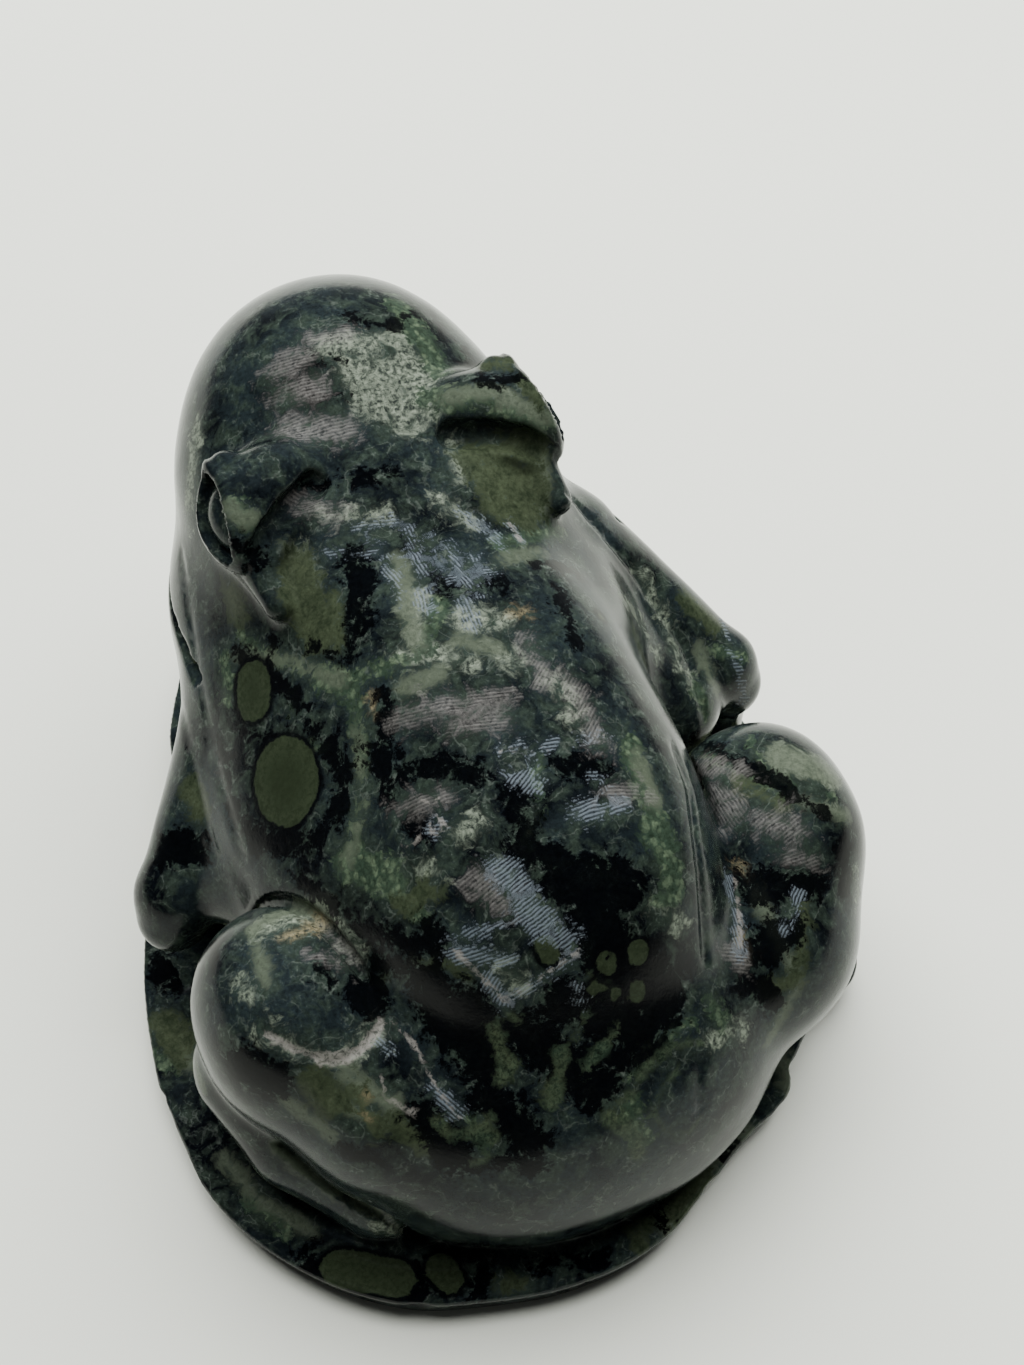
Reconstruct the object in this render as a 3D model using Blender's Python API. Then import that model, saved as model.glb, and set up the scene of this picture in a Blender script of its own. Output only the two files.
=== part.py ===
# Frog carved from one piece of jasper, squatting on the flat slab left under it.
# It faces -Y, its left side is +X, and the slab's underside lies on the ground, z = 0.
#
# The stone is one solid. Its rounded forms are signed distances built from nodes: forms
# grow together by a smooth minimum and are cut by a smooth maximum. Volume Cube samples
# the sum on a grid, Volume to Mesh skins it, and a Boolean saws the underside flat.
import math

import bpy

# Driving sizes, in metres
FROG_LENGTH = 0.0720        # from the snout to the rump
SLAB_THICKNESS = 0.0034     # the slab under the frog
SLAB_MARGIN = 0.0022        # how far the slab reaches past the frog's footprint
SLAB_RIM_ROUND = 0.0010     # rounding along the slab's upper rim
SLAB_UNDERCUT = 0.0012      # how far the slab's side leans in towards the ground
TIER_HEIGHT = 0.0005        # low tier of stone left around the body, on the slab
EYE_LENGTH = 0.0076         # between the corners of the lids
EYE_OPENING = 0.0036        # between the lids at their widest
MOUTH_GROOVE = 0.0007       # width of the mouth line
CREASE_GROOVE = 0.0006      # width of the chiselled creases
GRID = 0.00042              # spacing of the sampling grid
TRIANGLES = 9000            # faces kept on the faceted solid

# The figure is laid out in steps, with 105 steps from snout to rump, and its z = 0 is
# the top of the slab. Every number in the form functions below is in these steps.
STEP = FROG_LENGTH / 105.0
SAW_DEPTH = 0.004           # stone sampled below the ground, then sawn off
HALF_WIDTH = 0.57 * FROG_LENGTH     # the sampled space: half its width, half its length
HALF_LENGTH = 0.70 * FROG_LENGTH
HEIGHT = 0.61 * FROG_LENGTH         # and its height above the slab

NODE_NAME = "frog_carving"
COLLECTION = "jasper_frog"
CUTTERS = "cutters"

# The slab's outline: radius at angles from the frog's left (+X) towards its rump (+Y)
SLAB_OUTLINE = (
    (0, 41.3), (9, 42.2), (22, 44.6), (38, 45.8), (50, 45.8), (62, 44.4), (76, 43.0),
    (90, 40.8), (100, 38.0), (112, 36.4), (122, 37.0), (128, 35.6), (140, 36.6),
    (148, 40.2), (152, 40.4), (160, 39.4), (172, 41.4), (185, 41.4), (200, 42.4),
    (214, 43.2), (227, 45.0), (239, 49.0), (250, 54.4), (262, 59.8), (274, 62.6),
    (279, 61.0), (284, 58.4), (290, 54.2), (297, 49.4), (308, 42.8), (320, 40.8),
    (332, 39.8), (346, 39.9),
)


class Clay:
    """A node group that holds one signed distance, below zero inside the stone."""

    def __init__(self, group):
        self.nodes = group.nodes
        self.links = group.links
        place = self.nodes.new("GeometryNodeInputPosition").outputs[0]
        raised = self.vector("SUBTRACT", place, (0.0, 0.0, SLAB_THICKNESS))
        self.whole = self.vector("SCALE", raised, 1.0 / STEP)
        x, y, z = self.split(self.whole)
        # The face is carved a little to the frog's right, so its middle lies off the body's
        off_middle = self.number("ADD", x, 1.2)
        self.mirrored = self.join(self.number("ABSOLUTE", off_middle), y, z)

    def fill(self, socket, value):
        if isinstance(value, bpy.types.NodeSocket):
            self.links.new(value, socket)
        else:
            socket.default_value = value

    def number(self, operation, a, b=0.0, c=0.0):
        node = self.nodes.new("ShaderNodeMath")
        node.operation = operation
        for socket, value in zip(node.inputs, (a, b, c)):
            self.fill(socket, value)
        return node.outputs[0]

    def vector(self, operation, a, b=(0.0, 0.0, 0.0)):
        node = self.nodes.new("ShaderNodeVectorMath")
        node.operation = operation
        self.fill(node.inputs[0], a)
        self.fill(node.inputs["Scale"] if operation == "SCALE" else node.inputs[1], b)
        return node.outputs["Value" if operation in ("LENGTH", "DOT_PRODUCT") else "Vector"]

    def split(self, vector):
        node = self.nodes.new("ShaderNodeSeparateXYZ")
        self.links.new(vector, node.inputs[0])
        return node.outputs

    def join(self, x, y, z):
        node = self.nodes.new("ShaderNodeCombineXYZ")
        for socket, value in zip(node.inputs, (x, y, z)):
            self.fill(socket, value)
        return node.outputs[0]

    def local(self, place, centre, turn):
        """The place seen from a centre, turned back by Euler angles in degrees."""
        moved = self.vector("SUBTRACT", place, centre)
        if not any(turn):
            return moved
        node = self.nodes.new("ShaderNodeVectorRotate")
        node.rotation_type = "EULER_XYZ"
        node.invert = True
        self.links.new(moved, node.inputs["Vector"])
        node.inputs["Rotation"].default_value = [math.radians(angle) for angle in turn]
        return node.outputs[0]

    def ball(self, place, centre, radii, turn=(0, 0, 0)):
        """An egg: three radii about a centre."""
        scaled = self.vector("DIVIDE", self.local(place, centre, turn), radii)
        size = self.vector("LENGTH", scaled)
        slope = self.vector("LENGTH", self.vector("DIVIDE", scaled, radii))
        depth = self.number("MULTIPLY", size, self.number("SUBTRACT", size, 1.0))
        return self.number("DIVIDE", depth, self.number("MAXIMUM", slope, 0.0001))

    def block(self, place, centre, radii, squareness, turn=(0, 0, 0)):
        """An egg whose sides are squared off, more so as squareness rises above 2."""
        moved = self.local(place, centre, turn)
        parts = self.split(self.vector("ABSOLUTE", self.vector("DIVIDE", moved, radii)))
        powers = [self.number("POWER", part, squareness) for part in parts]
        total = self.number("ADD", self.number("ADD", powers[0], powers[1]), powers[2])
        size = self.number("MAXIMUM", self.number("POWER", total, 1.0 / squareness), 0.001)
        inside = self.number("SUBTRACT", 1.0, self.number("DIVIDE", 1.0, size))
        return self.number("MULTIPLY", self.vector("LENGTH", moved), inside)

    def limb(self, place, start, end, start_radius, end_radius):
        """A straight limb with round ends, tapering from one radius to the other."""
        run = tuple(b - a for a, b in zip(start, end))
        moved = self.vector("SUBTRACT", place, start)
        along = self.vector("DOT_PRODUCT", moved, run)
        along = self.number("DIVIDE", along, sum(part * part for part in run))
        along = self.number("MINIMUM", self.number("MAXIMUM", along, 0.0), 1.0)
        nearest = self.vector("SCALE", run, along)
        away = self.vector("LENGTH", self.vector("SUBTRACT", moved, nearest))
        radius = self.number("MULTIPLY_ADD", along, end_radius - start_radius, start_radius)
        return self.number("SUBTRACT", away, radius)

    def path(self, place, points, radius):
        """A bent rod of even radius through several points."""
        rods = [self.limb(place, a, b, radius, radius) for a, b in zip(points, points[1:])]
        rod = rods[0]
        for other in rods[1:]:
            rod = self.number("MINIMUM", rod, other)
        return rod

    def seam(self, stone, form, radius):
        """A thin rod along the line where two surfaces meet."""
        return self.number("SUBTRACT", self.vector("LENGTH", self.join(stone, form, 0.0)), radius)

    def grow(self, stone, form, softness):
        return self.number("SMOOTH_MIN", stone, form, softness)

    def carve(self, stone, tool, softness):
        return self.number("SMOOTH_MAX", stone, self.number("MULTIPLY", tool, -1.0), softness)

    def groove(self, stone, tool, depth, softness):
        """Carve with a tool that goes no deeper than a depth below the surface."""
        floor = self.number("SUBTRACT", self.number("MULTIPLY", stone, -1.0), depth)
        return self.carve(stone, self.number("MAXIMUM", tool, floor), softness)

    def raise_up(self, stone, pattern, height, softness):
        """Lift the surface by a height wherever the pattern is."""
        skin = self.number("MAXIMUM", pattern, self.number("SUBTRACT", stone, height))
        return self.grow(stone, skin, softness)


def trunk(clay):
    """Haunches, back, shoulders and the belly that stands on the slab."""
    at = clay.whole
    stone = clay.block(at, (4, 13.5, 12), (29.5, 29.3, 22), 2.3)
    stone = clay.grow(stone, clay.block(at, (2, -2, 26), (23.5, 34, 25), 2.6, (-14, 0, 0)), 7)
    stone = clay.grow(stone, clay.block(at, (0, -26, 31), (25.5, 30, 17), 2.3, (4, 0, 0)), 6)
    stone = clay.grow(stone, clay.ball(at, (12, -5, 25), (18, 27, 20)), 5)
    # the left flank slopes away from the back, where the right one turns down sharply
    slope = clay.vector("DOT_PRODUCT", clay.vector("SUBTRACT", at, (24, -8, 37.5)), (0.70, 0.05, 0.71))
    stone = clay.number("SMOOTH_MAX", stone, slope, 5)
    return clay.grow(stone, clay.ball(at, (0, -22, 13), (17, 17, 22)), 8)


def head(clay, stone):
    """The broad domed head, its snout lifted a little."""
    at = clay.whole
    stone = clay.grow(stone, clay.block(at, (-1.8, -38, 40.5), (21.5, 24, 15), 2.3), 6)
    return clay.grow(stone, clay.ball(at, (-2.8, -48.5, 43.7), (17.8, 18, 15.5)), 5)


def eyes(clay, stone):
    """Eyes: a brow mound with a hollow behind it, and the eyeball between two lids that
    meet in corners, the back corner running out over the neck."""
    at = clay.mirrored
    stone = clay.grow(stone, clay.ball(at, (13, -34.5, 51), (8, 5.6, 7), (0, 0, 20)), 3.5)
    stone = clay.grow(stone, clay.limb(at, (16.5, -32, 49.5), (17.4, -22, 48.5), 3.5, 1.5), 3)
    centre, tilt = (15.8, -32.4, 52), (-24, -24, 0)
    stone = clay.grow(stone, clay.ball(at, centre, (5.4, 7.2, 5.2), tilt), 1.2)
    stone = clay.grow(stone, clay.ball(at, (16.6, -37.1, 55.4), (2.1, 2.1, 2.1)), 1)
    out, along, above = clay.split(clay.local(at, centre, tilt))
    long, high = 0.5 * EYE_LENGTH / STEP, 0.5 * EYE_OPENING / STEP
    arc = (long * long + high * high) / (2.0 * high)
    lids = []
    for shift in (arc - high, high - arc):
        centred = clay.join(0.0, along, clay.number("ADD", above, shift))
        lids.append(clay.number("SUBTRACT", clay.vector("LENGTH", centred), arc))
    almond = clay.number("MAXIMUM", lids[0], lids[1])
    almond = clay.number("MAXIMUM", almond, clay.number("MULTIPLY", out, -1.0))
    stone = clay.groove(stone, almond, 1.2, 0.5)
    stone = clay.grow(stone, clay.ball(at, centre, (5.1, 5.2, 3.6), tilt), 0.4)
    outside = clay.number("ABSOLUTE", clay.number("SUBTRACT", almond, 0.6))
    rim = clay.number("SUBTRACT", outside, 0.6)
    stone = clay.raise_up(stone, rim, 0.6, 0.5)
    hollow = clay.path(at, ((8.4, -31.4, 54.7), (12.4, -29.4, 54.8), (15.2, -27.8, 54.2),
                            (17, -26.2, 53.2)), 1.7)
    return clay.carve(stone, hollow, 0.8)


def mouth(clay, stone):
    """A wide mouth line around the snout, turned up at its corners, and two nostrils."""
    level, snout, corner, lift = 33.0, -64.0, -26.0, 0.0016
    _, y, z = clay.split(clay.mirrored)
    behind = clay.number("SUBTRACT", y, snout)
    rise = clay.number("MULTIPLY", clay.number("MULTIPLY", behind, behind), lift)
    line = clay.number("SUBTRACT", clay.number("SUBTRACT", z, level), rise)
    sheet = clay.number("SUBTRACT", clay.number("ABSOLUTE", line), 0.5 * MOUTH_GROOVE / STEP)
    sheet = clay.number("MAXIMUM", sheet, clay.number("SUBTRACT", y, corner))
    stone = clay.groove(stone, sheet, 1.4, 0.8)
    nostril = clay.ball(clay.mirrored, (5.5, -64, 49), (1.1, 1.6, 1.0))
    return clay.carve(stone, nostril, 0.6)


def arms(clay, stone):
    """Front legs: webbed upper arms out to the elbows, forearms in to the hands."""
    at = clay.whole
    for side, shoulder, elbow, wrist in (
            (1, (19.5, -25, 28), (35.2, -12, 17), (29, -21.5, 4)),
            (-1, (-22, -27, 32), (-35.3, -12.2, 19.5), (-36.0, -13, 4))):
        web = clay.limb(at, (side * 17, -16, 26), (side * 27, -9, 20), 10, 6)
        stone = clay.grow(stone, web, 6)
        stone = clay.grow(stone, clay.limb(at, shoulder, elbow, 7.5, 4.6), 6)
        knob = clay.limb(at, elbow, (elbow[0] + side, elbow[1] + 1, elbow[2] - 2.5), 4.6, 4.2)
        stone = clay.grow(stone, knob, 1.5)
        stone = clay.grow(stone, clay.limb(at, elbow, wrist, 4.4, 3.4), 2)
        stone = hand(clay, stone, side, wrist)
    return stone


def hand(clay, stone, side, wrist):
    """A palm and four toes turned in over the slab."""
    at = clay.whole
    palm = (wrist[0] - side * 3.5, wrist[1] - 7, 1.2)
    stone = clay.grow(stone, clay.limb(at, wrist, palm, 3.4, 2.8), 1.5)
    for toe, length in enumerate((10.0, 11.5, 11.0, 9.0)):
        angle = math.radians(-90 - side * (6 + 20 * toe))
        tip = (palm[0] + length * math.cos(angle), palm[1] + length * math.sin(angle), 0.6)
        stone = clay.grow(stone, clay.limb(at, palm, tip, 1.8, 1.5), 0.7)
    return stone


def thighs(clay, stone):
    """Folded hind legs: round knees with a crisp crease, thighs that run into the rump."""
    at = clay.whole
    for knee, thigh in ((clay.block(at, (30, 12, 22), (11.5, 12.5, 12.5), 2.2),
                         clay.ball(at, (22.9, 18, 16.5), (13.2, 16.2, 14), (20, 0, -15))),
                        (clay.block(at, (-28, 13, 22), (10.5, 12.5, 12), 2.2),
                         clay.ball(at, (-19.5, 17.5, 15), (15.5, 17.5, 14.5), (20, 0, 15)))):
        crease = clay.seam(stone, knee, CREASE_GROOVE / STEP)
        stone = clay.grow(stone, knee, 1.2)
        stone = clay.carve(stone, crease, 0.8)
        stone = clay.grow(stone, thigh, 5)
    return stone


def shins(clay, stone):
    """Shins folded under the thighs, with heels at the back and feet to the front."""
    at = clay.whole
    crease_start = 20.0  # in front of this the calf runs into the knee without a crease
    ahead = clay.number("SUBTRACT", crease_start, clay.split(at)[1])
    for side, bends in (
            (1, (((34.5, 10, 12), 7.7), ((32.9, 17.7, 7.2), 6.6), ((27.2, 26.2, 4.5), 5.9),
                 ((22.9, 28.9, 1.8), 3.2))),
            (-1, (((-31, 10, 12), 7.2), ((-30, 12, 6), 6.0), ((-27, 20, 4.5), 5.4),
                  ((-20, 27, 1.5), 3.4)))):
        shin = None
        for (start, start_radius), (end, end_radius) in zip(bends, bends[1:]):
            bone = clay.limb(at, start, end, start_radius, end_radius)
            shin = bone if shin is None else clay.number("SMOOTH_MIN", shin, bone, 1.0)
        crease = clay.seam(stone, shin, 0.8 * CREASE_GROOVE / STEP)
        stone = clay.grow(stone, shin, 2.6)
        if side > 0:  # the right calf lies flush under its thigh
            stone = clay.carve(stone, clay.number("MAXIMUM", crease, ahead), 0.8)
        ankle = (side * 29, 2, 1.5)
        for toe, length in enumerate((9.0, 11.5, 11.0, 8.5)):
            angle = math.radians(-90 + side * (8 - 16 * toe))
            tip = (ankle[0] + length * math.cos(angle), ankle[1] + length * math.sin(angle), 0.6)
            stone = clay.grow(stone, clay.limb(at, ankle, tip, 2.2, 1.4), 1.2)
    return stone


def polar_radius(clay, x, y, outline):
    """The outline's radius in the direction of x, y, read from a curve."""
    angle = clay.number("DIVIDE", clay.number("ARCTAN2", y, x), 2.0 * math.pi)
    angle = clay.number("FRACT", clay.number("ADD", angle, 1.0))
    top = 1.1 * max(radius for _, radius in outline)
    node = clay.nodes.new("ShaderNodeFloatCurve")
    points = [(degrees / 360.0, radius / top) for degrees, radius in outline]
    points.append((1.0, points[0][1]))
    curve = node.mapping.curves[0]
    while len(curve.points) < len(points):
        curve.points.new(0.5, 0.5)
    for point, place in zip(curve.points, points):
        point.location = place
    node.mapping.update()
    clay.links.new(angle, node.inputs["Value"])
    return clay.number("MULTIPLY", node.outputs[0], top)


def slab(clay, stone):
    """The slab, its side leaning in to the ground, and the low tier around the body."""
    x, y, z = clay.split(clay.whole)
    flat = clay.vector("LENGTH", clay.join(x, y, 0.0))
    footprint = polar_radius(clay, x, y, SLAB_OUTLINE)
    lean = clay.number("MULTIPLY", z, SLAB_UNDERCUT / SLAB_THICKNESS)
    reach = clay.number("ADD", clay.number("ADD", footprint, SLAB_MARGIN / STEP), lean)
    side = clay.number("SUBTRACT", flat, reach)
    plate = clay.number("SMOOTH_MAX", side, z, SLAB_RIM_ROUND / STEP)
    stone = clay.grow(stone, plate, 1.2)
    tier_side = clay.number("SUBTRACT", flat, clay.number("SUBTRACT", footprint, 1.5))
    tier_top = clay.number("SUBTRACT", z, TIER_HEIGHT / STEP)
    tier = clay.number("SMOOTH_MAX", tier_side, tier_top, 1.5)
    tier = clay.number("SMOOTH_MAX", tier, clay.number("SUBTRACT", -10.0, y), 2.0)
    return clay.grow(stone, tier, 0.8)


def carve_frog(clay):
    stone = trunk(clay)
    stone = head(clay, stone)
    stone = arms(clay, stone)
    stone = thighs(clay, stone)
    stone = shins(clay, stone)
    stone = slab(clay, stone)
    stone = eyes(clay, stone)
    return mouth(clay, stone)


def stone_group():
    """The node group that skins the carved frog."""
    group = bpy.data.node_groups.new("carved stone", "GeometryNodeTree")
    group.interface.new_socket("Geometry", in_out="INPUT", socket_type="NodeSocketGeometry")
    group.interface.new_socket("Geometry", in_out="OUTPUT", socket_type="NodeSocketGeometry")
    clay = Clay(group)
    density = clay.number("MULTIPLY", carve_frog(clay), -1.0)
    cube = group.nodes.new("GeometryNodeVolumeCube")
    low = (-HALF_WIDTH, -HALF_LENGTH, -SAW_DEPTH)
    high = (HALF_WIDTH, HALF_LENGTH, SLAB_THICKNESS + HEIGHT)
    cube.inputs["Min"].default_value = low
    cube.inputs["Max"].default_value = high
    cube.inputs["Background"].default_value = -1.0
    for axis, a, b in zip("XYZ", low, high):
        cube.inputs["Resolution " + axis].default_value = round((b - a) / GRID)
    group.links.new(density, cube.inputs["Density"])
    skin = group.nodes.new("GeometryNodeVolumeToMesh")
    skin.inputs["Threshold"].default_value = 0.0
    group.links.new(cube.outputs[0], skin.inputs["Volume"])
    output = group.nodes.new("NodeGroupOutput")
    group.links.new(skin.outputs[0], output.inputs[0])
    return group


def jasper():
    material = bpy.data.materials.new("polished green jasper")
    material.use_nodes = True
    shader = material.node_tree.nodes["Principled BSDF"]
    shader.inputs["Base Color"].default_value = (0.035, 0.055, 0.045, 1.0)
    shader.inputs["Roughness"].default_value = 0.25
    shader.inputs["Metallic"].default_value = 0.0
    return material


def collection(name):
    made = bpy.data.collections.new(name)
    bpy.context.scene.collection.children.link(made)
    return made


def ground_saw(home):
    """A box under the ground: what it takes off the slab leaves a flat underside."""
    bpy.ops.mesh.primitive_cube_add(size=1.0)
    saw = bpy.context.object
    saw.name = "ground_saw"
    deep = 3.0 * SAW_DEPTH
    saw.dimensions = (3.0 * HALF_WIDTH, 3.0 * HALF_LENGTH, deep)
    saw.location = (0.0, 0.0, -0.5 * deep)
    bpy.ops.object.transform_apply(location=False, rotation=False, scale=True)
    for other in list(saw.users_collection):
        other.objects.unlink(saw)
    home.objects.link(saw)
    saw.hide_render = True
    saw.display_type = "WIRE"
    return saw


def skin_mesh(name):
    """The carved frog as a plain mesh, before its faces are thinned out."""
    holder = bpy.data.objects.new(name + "_clay", bpy.data.meshes.new(name + "_clay"))
    bpy.context.scene.collection.objects.link(holder)
    modifier = holder.modifiers.new("carving", "NODES")
    modifier.node_group = stone_group()
    evaluated = holder.evaluated_get(bpy.context.evaluated_depsgraph_get())
    mesh = bpy.data.meshes.new_from_object(evaluated)
    mesh.name = name
    bpy.data.objects.remove(holder)
    return mesh


def main():
    for thing in list(bpy.data.objects):
        bpy.data.objects.remove(thing)
    mesh = skin_mesh(NODE_NAME)
    frog = bpy.data.objects.new(NODE_NAME, mesh)
    collection(COLLECTION).objects.link(frog)
    mesh.materials.clear()
    mesh.materials.append(jasper())
    thin = frog.modifiers.new("fewer faces", "DECIMATE")
    thin.ratio = min(1.0, TRIANGLES / (2.0 * len(mesh.polygons)))
    cut = frog.modifiers.new("sawn underside", "BOOLEAN")
    cut.operation = "DIFFERENCE"
    cut.solver = "EXACT"
    cut.object = ground_saw(collection(CUTTERS))
    mesh.shade_smooth()


main()
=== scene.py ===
import math

import bpy
import numpy as np
from mathutils import Matrix, Vector
from mathutils.bvhtree import BVHTree


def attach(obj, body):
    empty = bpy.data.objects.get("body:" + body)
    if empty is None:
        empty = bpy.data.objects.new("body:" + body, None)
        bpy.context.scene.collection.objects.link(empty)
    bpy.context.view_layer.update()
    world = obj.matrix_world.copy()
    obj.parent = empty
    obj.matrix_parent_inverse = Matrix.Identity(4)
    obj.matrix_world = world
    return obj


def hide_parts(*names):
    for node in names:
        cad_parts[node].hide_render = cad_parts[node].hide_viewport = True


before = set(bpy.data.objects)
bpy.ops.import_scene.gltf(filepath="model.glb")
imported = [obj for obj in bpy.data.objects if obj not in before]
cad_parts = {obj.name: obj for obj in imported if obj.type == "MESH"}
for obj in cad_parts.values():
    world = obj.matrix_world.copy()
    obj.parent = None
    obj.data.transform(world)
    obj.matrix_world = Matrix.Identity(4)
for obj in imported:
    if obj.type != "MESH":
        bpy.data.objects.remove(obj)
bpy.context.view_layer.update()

# The view: the camera stands behind the frog, to its left and above, and looks down on its back
view = {
    "azimuth": 154.0,
    "elevation": 53.0,
    "distance": 0.25097,
    "aim": (-0.009182, -0.016149, 0.013968),
    "focalPixels": 3000.0,  # at a picture 1365 high
    "width": 1024,
    "height": 1365,
}


def cameraAxes():
    turn, lift = math.radians(view["azimuth"]), math.radians(view["elevation"])
    back = Vector((math.sin(turn) * math.cos(lift), -math.cos(turn) * math.cos(lift), math.sin(lift)))
    right = Vector((math.cos(turn), math.sin(turn), 0.0))
    return right, back.cross(right), back


def makeCamera():
    right, up, back = cameraAxes()
    data = bpy.data.cameras.new("camera")
    data.sensor_width = 36.0
    data.lens = view["focalPixels"] / view["height"] * data.sensor_width
    data.clip_start, data.clip_end = 0.01, 20.0
    camera = bpy.data.objects.new("camera", data)
    bpy.context.scene.collection.objects.link(camera)
    place = Vector(view["aim"]) + view["distance"] * back
    camera.matrix_world = Matrix.Translation(place) @ Matrix((right, up, back)).transposed().to_4x4()
    bpy.context.scene.camera = camera
    return place


cameraPlace = makeCamera()


def rayThrough(px, py):
    right, up, back = cameraAxes()
    x = (px - view["width"] / 2) / view["focalPixels"]
    y = (view["height"] / 2 - py) / view["focalPixels"]
    return (right * x + up * y - back).normalized()


class Net:
    # short ways to add nodes to a geometry or a shader tree
    def __init__(self, tree):
        self.tree = tree
        self.nodes = tree.nodes
        self.links = tree.links

    def fill(self, socket, value):
        if isinstance(value, bpy.types.NodeSocket):
            self.links.new(value, socket)
        elif value is not None:
            socket.default_value = value

    def number(self, operation, a, b=0.0, c=0.0):
        node = self.nodes.new("ShaderNodeMath")
        node.operation = operation
        for socket, value in zip(node.inputs, (a, b, c)):
            self.fill(socket, value)
        return node.outputs[0]

    def vector(self, operation, a, b=(0.0, 0.0, 0.0)):
        node = self.nodes.new("ShaderNodeVectorMath")
        node.operation = operation
        self.fill(node.inputs[0], a)
        self.fill(node.inputs["Scale"] if operation == "SCALE" else node.inputs[1], b)
        return node.outputs["Value" if operation in ("LENGTH", "DOT_PRODUCT") else "Vector"]

    def split(self, vector):
        node = self.nodes.new("ShaderNodeSeparateXYZ")
        self.links.new(vector, node.inputs[0])
        return node.outputs

    def join(self, x, y, z):
        node = self.nodes.new("ShaderNodeCombineXYZ")
        for socket, value in zip(node.inputs, (x, y, z)):
            self.fill(socket, value)
        return node.outputs[0]

    def noise(self, place, scale, detail=3.0, rough=0.5, swirl=0.0):
        node = self.nodes.new("ShaderNodeTexNoise")
        for name, value in (("Vector", place), ("Scale", scale), ("Detail", detail),
                            ("Roughness", rough), ("Distortion", swirl)):
            self.fill(node.inputs[name], value)
        return node.outputs

    def remap(self, value, low, high, toLow=0.0, toHigh=1.0, smooth=False):
        node = self.nodes.new("ShaderNodeMapRange")
        node.interpolation_type = "SMOOTHSTEP" if smooth else "LINEAR"
        for name, part in (("Value", value), ("From Min", low), ("From Max", high),
                           ("To Min", toLow), ("To Max", toHigh)):
            self.fill(node.inputs[name], part)
        return node.outputs[0]


frogSteps = 105.0  # the forms below are placed in steps, and the frog is this many steps long
eyesAside = 1.2    # how many steps the eyes' middle lies off the body's middle


class Clay(Net):
    # a net whose sums are signed distances in steps, below zero inside the stone
    def __init__(self, tree, sizes):
        super().__init__(tree)
        self.step = self.number("DIVIDE", sizes["Length"], frogSteps)
        place = self.nodes.new("GeometryNodeInputPosition").outputs[0]
        raised = self.vector("SUBTRACT", place, self.join(0.0, 0.0, sizes["Slab thickness"]))
        self.whole = self.vector("SCALE", raised, self.number("DIVIDE", 1.0, self.step))
        x, y, z = self.split(self.whole)
        self.mirrored = self.join(self.number("ABSOLUTE", self.number("ADD", x, eyesAside)), y, z)

    def steps(self, size):
        return self.number("DIVIDE", size, self.step)

    def local(self, place, centre, turn):
        moved = self.vector("SUBTRACT", place, centre)
        if not any(turn):
            return moved
        node = self.nodes.new("ShaderNodeVectorRotate")
        node.rotation_type = "EULER_XYZ"
        node.invert = True
        self.links.new(moved, node.inputs["Vector"])
        node.inputs["Rotation"].default_value = [math.radians(angle) for angle in turn]
        return node.outputs[0]

    def ball(self, place, centre, radii, turn=(0, 0, 0)):
        scaled = self.vector("DIVIDE", self.local(place, centre, turn), radii)
        size = self.vector("LENGTH", scaled)
        slope = self.vector("LENGTH", self.vector("DIVIDE", scaled, radii))
        depth = self.number("MULTIPLY", size, self.number("SUBTRACT", size, 1.0))
        return self.number("DIVIDE", depth, self.number("MAXIMUM", slope, 0.0001))

    def block(self, place, centre, radii, squareness, turn=(0, 0, 0)):
        moved = self.local(place, centre, turn)
        parts = self.split(self.vector("ABSOLUTE", self.vector("DIVIDE", moved, radii)))
        powers = [self.number("POWER", part, squareness) for part in parts]
        total = self.number("ADD", self.number("ADD", powers[0], powers[1]), powers[2])
        size = self.number("MAXIMUM", self.number("POWER", total, 1.0 / squareness), 0.001)
        inside = self.number("SUBTRACT", 1.0, self.number("DIVIDE", 1.0, size))
        return self.number("MULTIPLY", self.vector("LENGTH", moved), inside)

    def limb(self, place, start, end, startRadius, endRadius):
        run = tuple(b - a for a, b in zip(start, end))
        moved = self.vector("SUBTRACT", place, start)
        along = self.vector("DOT_PRODUCT", moved, run)
        along = self.number("DIVIDE", along, sum(part * part for part in run))
        along = self.number("MINIMUM", self.number("MAXIMUM", along, 0.0), 1.0)
        away = self.vector("LENGTH", self.vector("SUBTRACT", moved, self.vector("SCALE", run, along)))
        radius = self.number("MULTIPLY_ADD", along, endRadius - startRadius, startRadius)
        return self.number("SUBTRACT", away, radius)

    def path(self, place, points, radius):
        rods = [self.limb(place, a, b, radius, radius) for a, b in zip(points, points[1:])]
        rod = rods[0]
        for other in rods[1:]:
            rod = self.number("MINIMUM", rod, other)
        return rod

    def seam(self, stone, form, radius):  # a thin rod where two surfaces meet
        return self.number("SUBTRACT", self.vector("LENGTH", self.join(stone, form, 0.0)), radius)

    def grow(self, stone, form, softness):
        return self.number("SMOOTH_MIN", stone, form, softness)

    def carve(self, stone, tool, softness):
        return self.number("SMOOTH_MAX", stone, self.number("MULTIPLY", tool, -1.0), softness)

    def groove(self, stone, tool, depth, softness):  # no deeper than depth
        floor = self.number("SUBTRACT", self.number("MULTIPLY", stone, -1.0), depth)
        return self.carve(stone, self.number("MAXIMUM", tool, floor), softness)

    def raiseUp(self, stone, pattern, height, softness):
        skin = self.number("MAXIMUM", pattern, self.number("SUBTRACT", stone, height))
        return self.grow(stone, skin, softness)


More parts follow.
